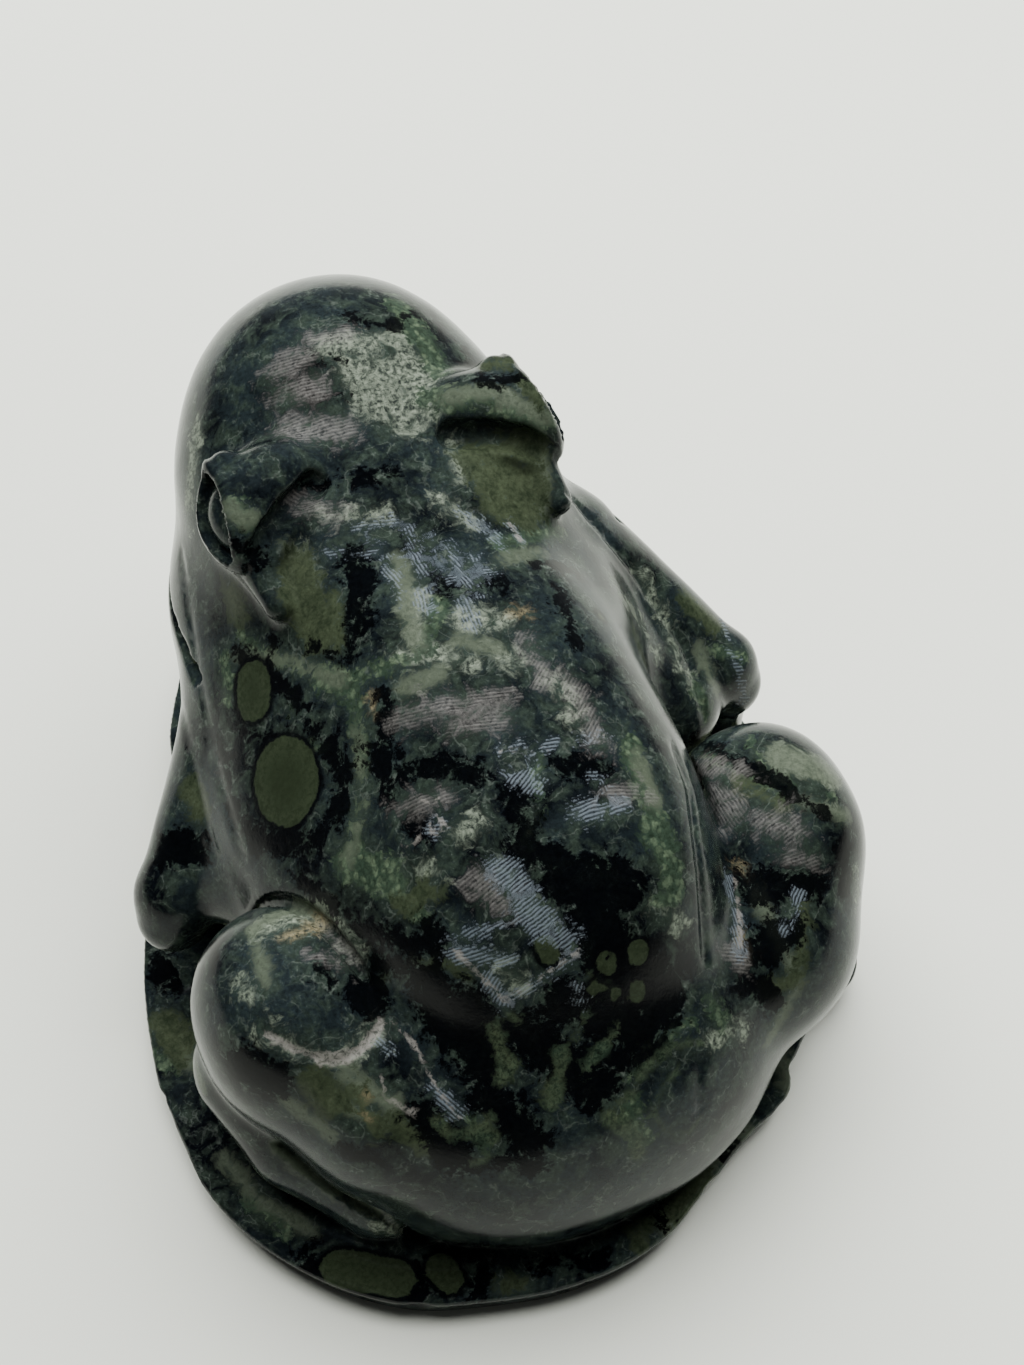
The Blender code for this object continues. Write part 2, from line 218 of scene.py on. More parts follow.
def trunk(clay):
    at = clay.whole
    stone = clay.block(at, (4, 13.5, 12), (29.5, 29.3, 22), 2.3)
    stone = clay.grow(stone, clay.block(at, (2, -2, 26), (23.5, 34, 25), 2.6, (-14, 0, 0)), 7)
    stone = clay.grow(stone, clay.block(at, (0, -26, 31), (25.5, 30, 17), 2.3, (4, 0, 0)), 6)
    stone = clay.grow(stone, clay.ball(at, (12, -5, 25), (18, 27, 20)), 5)
    slope = clay.vector("DOT_PRODUCT", clay.vector("SUBTRACT", at, (24, -8, 37.5)), (0.70, 0.05, 0.71))
    stone = clay.number("SMOOTH_MAX", stone, slope, 5)  # the left flank slopes away from the back
    return clay.grow(stone, clay.ball(at, (0, -22, 13), (17, 17, 22)), 8)


def head(clay, stone):
    at = clay.whole
    stone = clay.grow(stone, clay.block(at, (-1.8, -38, 40.5), (21.5, 24, 15), 2.3), 6)
    return clay.grow(stone, clay.ball(at, (-2.8, -48.5, 43.7), (17.8, 18, 15.5)), 5)


def eyes(clay, stone, sizes):
    at = clay.mirrored
    stone = clay.grow(stone, clay.ball(at, (13, -34.5, 51), (8, 5.6, 7), (0, 0, 20)), 3.5)
    stone = clay.grow(stone, clay.limb(at, (16.5, -32, 49.5), (17.4, -22, 48.5), 3.5, 1.5), 3)
    centre, tilt = (15.8, -32.4, 52), (-24, -24, 0)
    stone = clay.grow(stone, clay.ball(at, centre, (5.4, 7.2, 5.2), tilt), 1.2)
    stone = clay.grow(stone, clay.ball(at, (16.6, -37.1, 55.4), (2.1, 2.1, 2.1)), 1)
    out, along, above = clay.split(clay.local(at, centre, tilt))
    # the lids are two arcs that cross in the corners of the eye
    long = clay.number("MULTIPLY", clay.steps(sizes["Eye length"]), 0.5)
    high = clay.number("MULTIPLY", clay.steps(sizes["Eye opening"]), 0.5)
    squares = clay.number("ADD", clay.number("MULTIPLY", long, long), clay.number("MULTIPLY", high, high))
    arc = clay.number("DIVIDE", squares, clay.number("MULTIPLY", high, 2.0))
    shift = clay.number("SUBTRACT", arc, high)
    lids = []
    for way in ("ADD", "SUBTRACT"):
        centred = clay.join(0.0, along, clay.number(way, above, shift))
        lids.append(clay.number("SUBTRACT", clay.vector("LENGTH", centred), arc))
    almond = clay.number("MAXIMUM", lids[0], lids[1])
    almond = clay.number("MAXIMUM", almond, clay.number("MULTIPLY", out, -1.0))
    stone = clay.groove(stone, almond, 1.2, 0.5)
    stone = clay.grow(stone, clay.ball(at, centre, (5.1, 5.2, 3.6), tilt), 0.4)
    outside = clay.number("ABSOLUTE", clay.number("SUBTRACT", almond, 0.6))
    stone = clay.raiseUp(stone, clay.number("SUBTRACT", outside, 0.6), 0.6, 0.5)
    hollow = clay.path(at, ((8.4, -31.4, 54.7), (12.4, -29.4, 54.8), (15.2, -27.8, 54.2),
                            (17, -26.2, 53.2)), 1.7)
    return clay.carve(stone, hollow, 0.8)


def mouth(clay, stone, sizes):
    level, snout, corner, lift = 33.0, -64.0, -26.0, 0.0016
    _, y, z = clay.split(clay.mirrored)
    behind = clay.number("SUBTRACT", y, snout)
    rise = clay.number("MULTIPLY", clay.number("MULTIPLY", behind, behind), lift)
    line = clay.number("SUBTRACT", clay.number("SUBTRACT", z, level), rise)
    half = clay.number("MULTIPLY", clay.steps(sizes["Mouth groove"]), 0.5)
    sheet = clay.number("SUBTRACT", clay.number("ABSOLUTE", line), half)
    sheet = clay.number("MAXIMUM", sheet, clay.number("SUBTRACT", y, corner))
    stone = clay.groove(stone, sheet, 1.4, 0.8)
    return clay.carve(stone, clay.ball(clay.mirrored, (5.5, -64, 49), (1.1, 1.6, 1.0)), 0.6)


def arms(clay, stone):
    at = clay.whole
    for side, shoulder, elbow, wrist in (
            (1, (19.5, -25, 28), (35.2, -12, 17), (29, -21.5, 4)),
            (-1, (-22, -27, 32), (-35.3, -12.2, 19.5), (-36.0, -13, 4))):
        web = clay.limb(at, (side * 17, -16, 26), (side * 27, -9, 20), 10, 6)
        stone = clay.grow(stone, web, 6)
        stone = clay.grow(stone, clay.limb(at, shoulder, elbow, 7.5, 4.6), 6)
        knob = clay.limb(at, elbow, (elbow[0] + side, elbow[1] + 1, elbow[2] - 2.5), 4.6, 4.2)
        stone = clay.grow(stone, knob, 1.5)
        stone = clay.grow(stone, clay.limb(at, elbow, wrist, 4.4, 3.4), 2)
        stone = hand(clay, stone, side, wrist)
    return stone


def hand(clay, stone, side, wrist):
    at = clay.whole
    palm = (wrist[0] - side * 3.5, wrist[1] - 7, 1.2)
    stone = clay.grow(stone, clay.limb(at, wrist, palm, 3.4, 2.8), 1.5)
    for toe, length in enumerate((10.0, 11.5, 11.0, 9.0)):
        angle = math.radians(-90 - side * (6 + 20 * toe))
        tip = (palm[0] + length * math.cos(angle), palm[1] + length * math.sin(angle), 0.6)
        stone = clay.grow(stone, clay.limb(at, palm, tip, 1.8, 1.5), 0.7)
    return stone


def thighs(clay, stone, sizes):
    at = clay.whole
    for knee, thigh in ((clay.block(at, (30, 12, 22), (11.5, 12.5, 12.5), 2.2),
                         clay.ball(at, (22.9, 18, 16.5), (13.2, 16.2, 14), (20, 0, -15))),
                        (clay.block(at, (-28, 13, 22), (10.5, 12.5, 12), 2.2),
                         clay.ball(at, (-19.5, 17.5, 15), (15.5, 17.5, 14.5), (20, 0, 15)))):
        crease = clay.seam(stone, knee, clay.steps(sizes["Crease groove"]))
        stone = clay.grow(stone, knee, 1.2)
        stone = clay.carve(stone, crease, 0.8)
        stone = clay.grow(stone, thigh, 5)
    return stone


def shins(clay, stone, sizes):
    at = clay.whole
    creaseStart = 20.0  # in front of this the calf runs into the knee without a crease
    ahead = clay.number("SUBTRACT", creaseStart, clay.split(at)[1])
    for side, bends in (
            (1, (((34.5, 10, 12), 7.7), ((32.9, 17.7, 7.2), 6.6), ((27.2, 26.2, 4.5), 5.9),
                 ((22.9, 28.9, 1.8), 3.2))),
            (-1, (((-31, 10, 12), 7.2), ((-30, 12, 6), 6.0), ((-27, 20, 4.5), 5.4),
                  ((-20, 27, 1.5), 3.4)))):
        shin = None
        for (start, startRadius), (end, endRadius) in zip(bends, bends[1:]):
            bone = clay.limb(at, start, end, startRadius, endRadius)
            shin = bone if shin is None else clay.number("SMOOTH_MIN", shin, bone, 1.0)
        radius = clay.number("MULTIPLY", clay.steps(sizes["Crease groove"]), 0.8)
        crease = clay.seam(stone, shin, radius)
        stone = clay.grow(stone, shin, 2.6)
        if side > 0:  # the right calf lies flush under its thigh
            stone = clay.carve(stone, clay.number("MAXIMUM", crease, ahead), 0.8)
        ankle = (side * 29, 2, 1.5)
        for toe, length in enumerate((9.0, 11.5, 11.0, 8.5)):
            angle = math.radians(-90 + side * (8 - 16 * toe))
            tip = (ankle[0] + length * math.cos(angle), ankle[1] + length * math.sin(angle), 0.6)
            stone = clay.grow(stone, clay.limb(at, ankle, tip, 2.2, 1.4), 1.2)
    return stone


# The slab's outline: radius in steps at angles from the frog's left towards its rump
slabOutline = (
    (0, 41.3), (9, 42.2), (22, 44.6), (38, 45.8), (50, 45.8), (62, 44.4), (76, 43.0),
    (90, 40.8), (100, 38.0), (112, 36.4), (122, 37.0), (128, 35.6), (140, 36.6),
    (148, 40.2), (152, 40.4), (160, 39.4), (172, 41.4), (185, 41.4), (200, 42.4),
    (214, 43.2), (227, 45.0), (239, 49.0), (250, 54.4), (262, 59.8), (274, 62.6),
    (279, 61.0), (284, 58.4), (290, 54.2), (297, 49.4), (308, 42.8), (320, 40.8),
    (332, 39.8), (346, 39.9),
)


def polarRadius(clay, x, y, outline):
    angle = clay.number("DIVIDE", clay.number("ARCTAN2", y, x), 2.0 * math.pi)
    angle = clay.number("FRACT", clay.number("ADD", angle, 1.0))
    top = 1.1 * max(radius for _, radius in outline)
    node = clay.nodes.new("ShaderNodeFloatCurve")
    points = [(degrees / 360.0, radius / top) for degrees, radius in outline]
    points.append((1.0, points[0][1]))
    curve = node.mapping.curves[0]
    while len(curve.points) < len(points):
        curve.points.new(0.5, 0.5)
    for point, place in zip(curve.points, points):
        point.location = place
    node.mapping.update()
    clay.links.new(angle, node.inputs["Value"])
    return clay.number("MULTIPLY", node.outputs[0], top)


def slab(clay, stone, sizes):
    x, y, z = clay.split(clay.whole)
    flat = clay.vector("LENGTH", clay.join(x, y, 0.0))
    footprint = polarRadius(clay, x, y, slabOutline)
    slope = clay.number("DIVIDE", sizes["Slab undercut"], sizes["Slab thickness"])
    lean = clay.number("MULTIPLY", z, slope)
    reach = clay.number("ADD", clay.number("ADD", footprint, clay.steps(sizes["Slab margin"])), lean)
    side = clay.number("SUBTRACT", flat, reach)
    plate = clay.number("SMOOTH_MAX", side, z, clay.steps(sizes["Slab rim round"]))
    stone = clay.grow(stone, plate, 1.2)
    tierSide = clay.number("SUBTRACT", flat, clay.number("SUBTRACT", footprint, 1.5))
    tierTop = clay.number("SUBTRACT", z, clay.steps(sizes["Tier height"]))
    tier = clay.number("SMOOTH_MAX", tierSide, tierTop, 1.5)
    tier = clay.number("SMOOTH_MAX", tier, clay.number("SUBTRACT", -10.0, y), 2.0)
    return clay.grow(stone, tier, 0.8)


# What a user would change about the frog, in metres
frog = {
    "node": "frog_carving",
    "Length": 0.0720,
    "Slab thickness": 0.0034,
    "Slab margin": 0.0022,
    "Slab rim round": 0.0010,
    "Slab undercut": 0.0012,
    "Tier height": 0.0005,
    "Eye length": 0.0076,
    "Eye opening": 0.0036,
    "Mouth groove": 0.0007,
    "Crease groove": 0.0006,
    "Hand cut": 0.00007,   # how far the polish strays from a true curve
    "Grid": 0.00028,
    "halfWidth": 0.0410,   # the space that is sampled
    "halfLength": 0.0504,
    "height": 0.0473,
    "below": 0.0020,       # stone under the ground, then sawn off
    "triangles": 190000,
    "quickGrid": 1.6,
}
sizeNames = [name for name in frog if name[0].isupper()]


def stoneTree():
    tree = bpy.data.node_groups.new("carved stone", "GeometryNodeTree")
    tree.interface.new_socket("Geometry", in_out="INPUT", socket_type="NodeSocketGeometry")
    for name in sizeNames:
        tree.interface.new_socket(name, in_out="INPUT", socket_type="NodeSocketFloat")
    tree.interface.new_socket("Stone", in_out="INPUT", socket_type="NodeSocketMaterial")
    tree.interface.new_socket("Geometry", in_out="OUTPUT", socket_type="NodeSocketGeometry")
    sizes = tree.nodes.new("NodeGroupInput").outputs
    clay = Clay(tree, sizes)
    stone = thighs(clay, arms(clay, head(clay, trunk(clay))), sizes)
    stone = slab(clay, shins(clay, stone, sizes), sizes)
    stone = mouth(clay, eyes(clay, stone, sizes), sizes)
    wave = clay.number("SUBTRACT", clay.noise(clay.whole, 0.085, 2.0, 0.45)[0], 0.5)
    amount = clay.number("MULTIPLY", clay.steps(sizes["Hand cut"]), 4.0)
    stone = clay.number("MULTIPLY_ADD", wave, amount, stone)
    cube = tree.nodes.new("GeometryNodeVolumeCube")
    low = (-frog["halfWidth"], -frog["halfLength"], -frog["below"])
    high = (frog["halfWidth"], frog["halfLength"], frog["height"])
    cube.inputs["Min"].default_value = low
    cube.inputs["Max"].default_value = high
    cube.inputs["Background"].default_value = -1.0
    for axis, a, b in zip("XYZ", low, high):
        count = clay.number("ROUND", clay.number("DIVIDE", b - a, sizes["Grid"]))
        tree.links.new(count, cube.inputs["Resolution " + axis])
    tree.links.new(clay.number("MULTIPLY", stone, -1.0), cube.inputs["Density"])
    skin = tree.nodes.new("GeometryNodeVolumeToMesh")
    skin.inputs["Threshold"].default_value = 0.0
    tree.links.new(cube.outputs[0], skin.inputs["Volume"])
    real = tree.nodes.new("GeometryNodeRealizeInstances")
    tree.links.new(skin.outputs[0], real.inputs[0])
    finish = tree.nodes.new("GeometryNodeSetMaterial")
    tree.links.new(real.outputs[0], finish.inputs["Geometry"])
    tree.links.new(sizes["Stone"], finish.inputs["Material"])
    output = tree.nodes.new("NodeGroupOutput")
    tree.links.new(finish.outputs[0], output.inputs[0])
    return tree


def newObject(name, mesh):
    made = bpy.data.objects.new(name, mesh)
    bpy.context.scene.collection.objects.link(made)
    return made


def plainMesh(holder, name):
    evaluated = holder.evaluated_get(bpy.context.evaluated_depsgraph_get())
    mesh = bpy.data.meshes.new_from_object(evaluated)
    mesh.name = name
    return mesh


def carveFrog(material):
    holder = newObject("clay", bpy.data.meshes.new("clay"))
    modifier = holder.modifiers.new("carving", "NODES")
    modifier.node_group = stoneTree()
    sockets = {item.name: item.identifier for item in modifier.node_group.interface.items_tree
               if item.in_out == "INPUT"}
    for name in sizeNames:
        coarser = frog["quickGrid"] if name == "Grid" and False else 1.0
        modifier[sockets[name]] = frog[name] * coarser
    modifier[sockets["Stone"]] = material
    mesh = plainMesh(holder, "fine skin")
    bpy.data.objects.remove(holder)
    print("skin sampled,", len(mesh.polygons), "faces")
    thick = newObject("thick", mesh)
    thin = thick.modifiers.new("fewer faces", "DECIMATE")
    thin.ratio = min(1.0, frog["triangles"] / (2.0 * len(mesh.polygons)))
    saw = groundSaw()
    cut = thick.modifiers.new("sawn underside", "BOOLEAN")
    cut.operation = "DIFFERENCE"
    cut.solver = "EXACT"
    cut.object = saw
    mesh = plainMesh(thick, "jasper_frog")
    bpy.data.objects.remove(thick)
    bpy.data.objects.remove(saw)
    mesh.materials.clear()
    mesh.materials.append(material)
    return newObject("jasper_frog", mesh)


def groundSaw():
    deep = 3.0 * frog["below"]
    bpy.ops.mesh.primitive_cube_add(size=1.0)
    saw = bpy.context.object
    saw.dimensions = (3.0 * frog["halfWidth"], 3.0 * frog["halfLength"], deep)
    saw.location = (0.0, 0.0, -0.5 * deep)
    bpy.ops.object.transform_apply(location=False, rotation=False, scale=True)
    return saw


# Marks in the stone's pattern, with a few marks of painted shade and painted highlight among them, placed
# by pixels of the picture: radius, then points
pattern = {
    "black": (
        # the black marks (462, 350)-(468, 368) and (476, 378)-(515, 380) are painted shade: the hollow
        # before the right eye's front knob and the groove under that knob
        (7, (350, 318), (392, 325)), (4, (393, 324), (413, 312)), (8, (462, 350), (468, 368)),
        (4, (476, 378), (515, 380)), (5, (312, 403), (345, 395)), (3, (308, 366), (338, 359)),
        (7, (352, 478), (392, 474)), (11, (236, 548), (262, 560)),
        (16, (355, 555), (362, 590), (356, 625)), (8, (353, 640), (351, 655)),
        (4, (272, 640), (340, 655)), (3, (300, 484), (335, 490)),
        (9, (236, 650), (262, 668), (296, 700), (318, 730)), (13, (330, 745), (345, 780), (335, 820)),
        (12, (318, 838), (285, 845), (258, 838)), (8, (221, 745), (230, 800), (250, 840)),
        (5, (243, 732), (270, 735), (300, 728)), (19, (165, 850), (195, 850)),
        (15, (205, 945), (212, 950)), (13, (388, 700), (380, 760), (392, 800)),
        (14, (440, 765), (478, 775)), (12, (412, 822), (425, 832)), (9, (540, 565), (575, 570)),
        (7, (470, 590), (500, 583)), (8, (560, 590), (575, 640)), (14, (515, 790), (525, 830)),
        (13, (560, 762), (600, 770)), (30, (565, 880), (620, 885)), (22, (470, 1000), (500, 1060)),
        (14, (378, 962), (436, 980), (452, 1005)), (18, (515, 850), (560, 860)),
        (12, (405, 770), (470, 770)), (34, (590, 930), (660, 1000)), (26, (560, 1000), (640, 1030)),
        (24, (520, 1030), (600, 1090)), (30, (440, 1010), (490, 1060)), (22, (490, 1100), (530, 1140)),
        (16, (620, 1060), (650, 1045)), (18, (745, 885), (812, 885)), (20, (760, 950), (790, 930)),
        (14, (745, 985), (775, 1000)), (8, (692, 742), (720, 752), (762, 774), (794, 795), (826, 812)),
        (11, (842, 850), (846, 890)), (25, (240, 1065), (272, 1082)), (9, (318, 968), (332, 985)),
        (17, (360, 985), (375, 1005)), (10, (380, 930), (420, 945)), (14, (430, 930), (440, 940)),
        (8, (345, 1150), (370, 1162)), (8, (420, 1262), (421, 1290)), (10, (480, 1262), (478, 1288)),
        (9, (535, 1265), (600, 1258)), (9, (310, 1250), (305, 1275)), (10, (735, 1140), (728, 1158)),
        (5, (660, 1205), (665, 1225)), (12, (160, 960), (170, 985)), (6, (398, 532), (420, 555)),
        (8, (428, 570), (450, 590)), (6, (450, 592), (492, 582)),
        (8, (300, 880), (335, 905), (365, 935), (440, 952)), (20, (425, 1115), (460, 1160)),
        (12, (500, 1160), (545, 1168)),
    ),
    "olive": (
        (24, (298, 572), (304, 605), (318, 632)), (11, (335, 600), (338, 645)),
        (20, (470, 452), (530, 450)), (26, (490, 478), (525, 485)), (20, (500, 505), (528, 512)),
        (9, (484, 363), (508, 363)), (10, (525, 385), (545, 400)), (19, (312, 1080), (332, 1104)),
        (13, (355, 1092), (374, 1128)), (12, (398, 1122), (424, 1148)), (10, (560, 1058), (552, 1090)),
        (13, (232, 590), (240, 615)), (8, (805, 900), (800, 960)), (11, (770, 990), (800, 980)),
        (5, (385, 975), (412, 966), (439, 960), (466, 975), (476, 1000)), (16, (700, 1175), (672, 1215)),
        (9, (640, 1225), (640, 1245)), (9, (500, 1283), (525, 1284)), (18, (165, 1025), (185, 1050)),
        (14, (190, 790), (200, 810)), (10, (735, 780), (780, 805)), (12, (430, 890), (400, 905)),
        (12, (690, 600), (715, 625)),
    ),
    "vein": (
        (7, (552, 1104), (559, 1079), (562, 1054)),
        (3, (584, 1076), (599, 1050), (617, 1032), (620, 1021)),
        (3, (573, 1039), (581, 1025), (586, 1014)),
        (8, (494, 1029), (501, 1054), (512, 1065), (501, 1079)),
        (7, (469, 1133), (487, 1119), (494, 1140)), (7, (436, 1119), (447, 1133)),
        (4, (472, 1162), (490, 1155)), (4, (700, 1043), (674, 1047), (649, 1065), (638, 1079)),
        (2, (678, 1068), (660, 1094), (653, 1115), (667, 1133), (689, 1133), (700, 1119)),
        (10, (609, 1115), (631, 1133), (638, 1155)), (6, (617, 1104), (631, 1094)),
        (5, (591, 978), (613, 992)), (5, (508, 1014), (519, 1021)),
    ),
    "orb": (
        (24, (253, 684), (254, 699)), (43, (284, 778), (286, 784)), (11, (637, 950), (638, 955)),
        (9, (637, 988), (637, 996)), (10, (606, 960), (608, 966)), (7, (596, 986), (592, 990)),
        (6, (615, 993), (616, 995)), (20, (340, 1268), (396, 1279)), (15, (440, 1268), (450, 1280)),
        (11, (545, 945), (550, 955)), (5, (600, 615), (601, 616)),
    ),
    "green": (
        (12, (430, 398), (480, 398), (530, 415), (546, 425)), (15, (400, 305), (420, 335), (440, 372)),
        (11, (236, 510), (252, 524)), (8, (240, 637), (262, 653), (302, 668)),
        (14, (320, 675), (350, 690)), (7, (360, 675), (398, 663), (425, 650)),
        (9, (355, 705), (363, 745), (361, 800), (350, 850)), (22, (350, 862), (395, 882)),
        (10, (405, 900), (422, 915)), (6, (288, 700), (294, 712)), (4, (312, 742), (322, 746)),
        (10, (440, 605), (425, 640)), (5, (540, 760), (532, 810), (525, 850)),
        (9, (500, 545), (560, 530)), (12, (630, 745), (646, 800)), (17, (655, 820), (672, 870)),
        (11, (676, 890), (660, 900)), (6, (712, 650), (745, 655)),
        (4, (748, 738), (765, 766), (800, 786), (833, 797)), (6, (705, 752), (754, 780), (786, 801)),
        (3, (585, 1010), (575, 1040)), (4, (618, 1027), (600, 1052), (583, 1077)),
        (9, (495, 1035), (507, 1075)), (8, (475, 1120), (486, 1155)), (12, (625, 1108), (642, 1138)),
        (9, (710, 1000), (722, 1022)), (5, (690, 1020), (650, 1050), (625, 1080)),
        (6, (150, 1050), (175, 1070)), (10, (700, 690), (708, 712)), (10, (250, 1200), (285, 1225)),
        (8, (225, 655), (228, 700)),
    ),
    "pale": (
        # the first two pale marks draw the crescent under the left knee: a real unpolished groove with a
        # painted highlight along it
        (8, (264, 1034), (297, 1050), (333, 1060)), (9, (333, 1060), (362, 1046), (380, 1026)),
        (19, (783, 757), (828, 774)), (14, (330, 348), (400, 342)), (25, (362, 372), (420, 372)),
        (20, (370, 402), (425, 402)), (12, (392, 425), (415, 425)), (7, (505, 400), (526, 412)),
        (7, (455, 445), (458, 480)), (6, (320, 514), (385, 518)), (6, (440, 500), (470, 520)),
        (12, (415, 590), (418, 640)), (12, (460, 618), (500, 622)), (10, (400, 655), (470, 660)),
        (7, (300, 555), (312, 580)), (6, (612, 580), (640, 622), (655, 650)),
        (5, (640, 572), (664, 620), (680, 662), (700, 700)), (12, (500, 655), (515, 660)),
        (8, (455, 835), (480, 820)), (7, (402, 868), (436, 870)), (18, (268, 925), (325, 912)),
        (15, (330, 915), (358, 950)), (5, (240, 985), (258, 992)), (9, (500, 965), (520, 985)),
        (7, (655, 905), (680, 925)), (9, (715, 1040), (740, 1030)), (6, (640, 690), (650, 700)),
        (5, (800, 800), (838, 808)), (10, (400, 1230), (380, 1225)), (8, (560, 685), (575, 720)),
        (9, (195, 430), (188, 520)), (6, (855, 870), (860, 910)),
    ),
    "sage": (
        (20, (783, 757), (828, 772)), (9, (450, 395), (490, 392), (530, 408), (545, 420)),
        (8, (800, 800), (845, 815)), (6, (540, 440), (545, 480), (543, 510)), (9, (225, 512), (252, 520)),
        (10, (288, 553), (310, 572)), (9, (252, 930), (275, 915), (330, 905)),
        (10, (330, 1098), (380, 1125)), (7, (236, 655), (288, 660), (339, 680)),
        (6, (359, 727), (362, 809), (345, 865)), (9, (640, 760), (655, 800)), (7, (700, 650), (715, 690)),
        (6, (258, 950), (266, 985)), (11, (345, 1075), (392, 1105)), (9, (285, 1100), (330, 1135)),
        (10, (400, 560), (415, 640)), (9, (455, 640), (500, 650)), (10, (400, 690), (440, 672)),
        (9, (505, 560), (540, 552)), (10, (180, 1040), (200, 1080)),
        (7, (755, 890), (800, 980), (770, 1040)), (8, (278, 1148), (330, 1185), (380, 1212)),
        (7, (225, 1160), (260, 1200), (310, 1230)), (9, (782, 1055), (790, 1095)),
        (9, (745, 1130), (700, 1180)), (8, (690, 1190), (668, 1228)),
    ),
    "scar": (
        # the first three marks draw the same crescent under the left knee: partly scratched stone, partly
        # painted highlight
        (5, (266, 1034), (297, 1050), (333, 1060)), (7, (318, 1058), (345, 1056)),
        (6, (333, 1060), (362, 1048), (381, 1024)),
        (2, (432, 822), (440, 818), (446, 826), (441, 834), (433, 832)),
        (1, (384, 1013), (413, 1043), (439, 1091), (461, 1120)),
        (2, (380, 1075), (388, 1099), (415, 1115), (417, 1107)), (2, (500, 752), (545, 747)),
        (2, (585, 738), (612, 734)), (2, (578, 935), (581, 955)), (2, (736, 880), (741, 945)),
        (2, (455, 950), (505, 1000)), (2, (506, 1002), (580, 950)), (2, (403, 805), (440, 799)),
        (2, (420, 838), (402, 846)), (2, (508, 520), (520, 540)),
    ),
    "amber": (
        (11, (290, 936), (318, 925)), (4, (366, 1098), (366, 1118)), (4, (512, 610), (528, 614)),
        (4, (637, 994), (638, 998)), (5, (372, 700), (375, 715)), (6, (740, 870), (748, 880)),
        (6, (742, 940), (750, 955)),
    ),
}

# Places that the polish missed, their light colour partly painted sheen: radius, direction of the tool
# lines in degrees, then points
unpolished = {
    "pink": (
        (13, 12, (285, 395), (318, 388)), (15, 18, (290, 430), (340, 428)),
        (10, 10, (275, 372), (300, 356)), (7, 8, (310, 340), (345, 332)), (9, 5, (308, 505), (335, 515)),
        (10, 8, (400, 716), (440, 706), (500, 700)), (10, 8, (455, 726), (500, 716)),
        (8, 15, (398, 806), (442, 796)), (6, 10, (612, 795), (642, 790)),
        (11, 40, (480, 882), (505, 905)), (15, -50, (718, 795), (735, 812)),
        (8, 20, (790, 855), (812, 860)), (8, 25, (330, 935), (356, 955)), (3, 10, (304, 952), (344, 964)),
        (9, 60, (565, 680), (600, 740)), (7, 62, (525, 640), (545, 680)),
        (12, 40, (705, 765), (730, 775)), (14, 40, (765, 818), (795, 832)),
        (6, 0, (725, 950), (740, 960)),
    ),
    "blue": (
        (6, -68, (408, 530), (425, 575)), (5, -62, (448, 548), (470, 588)),
        (3, -40, (458, 512), (498, 538)), (5, -80, (418, 590), (424, 612)),
        (3, -75, (430, 535), (438, 562)), (3, -60, (385, 560), (400, 598)),
        (3, -80, (472, 556), (482, 592)), (4, 5, (350, 527), (396, 522)), (2, 5, (365, 540), (384, 537)),
        (2, 5, (325, 553), (342, 551)), (2, 5, (358, 554), (377, 552)), (9, 22, (578, 814), (622, 808)),
        (6, -75, (462, 600), (475, 625)), (4, 20, (440, 580), (490, 570)),
        (9, 55, (512, 772), (535, 782)), (3, 15, (500, 752), (545, 747), (585, 738), (612, 734)),
        (15, 38, (500, 868), (518, 890)), (17, 38, (525, 905), (545, 925)),
        (12, 38, (548, 925), (572, 945)), (4, 30, (455, 938), (500, 925)),
        (8, 20, (455, 952), (508, 962)), (7, 60, (488, 975), (505, 1003)),
        (4, 35, (512, 998), (560, 966), (580, 950)), (3, 75, (578, 935), (581, 955)),
        (4, -70, (727, 878), (735, 920), (739, 950)), (5, 60, (799, 893), (785, 928)),
        (6, -40, (438, 1092), (455, 1115)), (3, -40, (378, 1040), (386, 1048)),
        (3, 80, (578, 986), (580, 1001)),
        (2, 0, (432, 822), (440, 818), (446, 826), (441, 834), (433, 832)),
        (2, 30, (706, 560), (745, 700)), (3, 10, (595, 778), (603, 780)),
        (2, -45, (508, 520), (520, 540)), (3, -50, (478, 520), (500, 545)),
    ),
}

# Cuts in the skin: depth in metres, radius in pixels, then points
cuts = {
    "seed": 7,
    "chips": 34,                   # around the slab's rim
    "chipSpread": 0.2,             # how far a chip strays from its even place, in radians
    "chipDepth": (0.1, 0.3),       # in millimetres
    "chipRadius": (0.6, 1.5),      # in millimetres
    "chipHeight": (0.001, 0.003),  # above the ground
    "outside": 0.06,               # a distance that is clear of the slab
    "keepFlat": 0.0003,            # nothing is cut below this height
    "lines": (
        (0.00026, 6, (263, 1030), (297, 1052), (335, 1063), (360, 1050), (380, 1025)),
        (0.00014, 9, (181, 554), (196, 660), (214, 760), (240, 850)),
        (0.00010, 9, (166, 620), (180, 700), (196, 780), (214, 850)),
        (0.00022, 9, (674, 748), (690, 790), (700, 870), (706, 960)),
        (0.00022, 8, (568, 493), (629, 565), (685, 646), (705, 717)),
        (0.00016, 6, (630, 1080), (665, 1050), (700, 1062), (700, 1110)),
    ),
}

fields = {
    "farAway": 0.004,     # the largest distance that is kept
    "lineStep": 4.0,      # pixels between the points that are dropped on the stone
    "jump": 0.0015,       # a longer gap is an edge, and the line breaks there
    "hiddenMarks": 170,
    "clear": 0.0004,      # how far off the skin a line of sight starts
    "fadeOut": 0.010,     # how quickly chance marks shrink on the side that faces the camera
    "seed": 31,
    "rareShare": 6,       # of the marks, one in so many is tried for a rare kind
    "usualShare": 2,
    "turnedAway": -0.12,  # how far the stone faces away where chance marks start
    "underside": 0.0005,
    "slabTop": 0.0060,    # scars and tool lines stay above this
    "bends": 6,           # pieces in a chance line
    "orbReach": 0.0002,
}

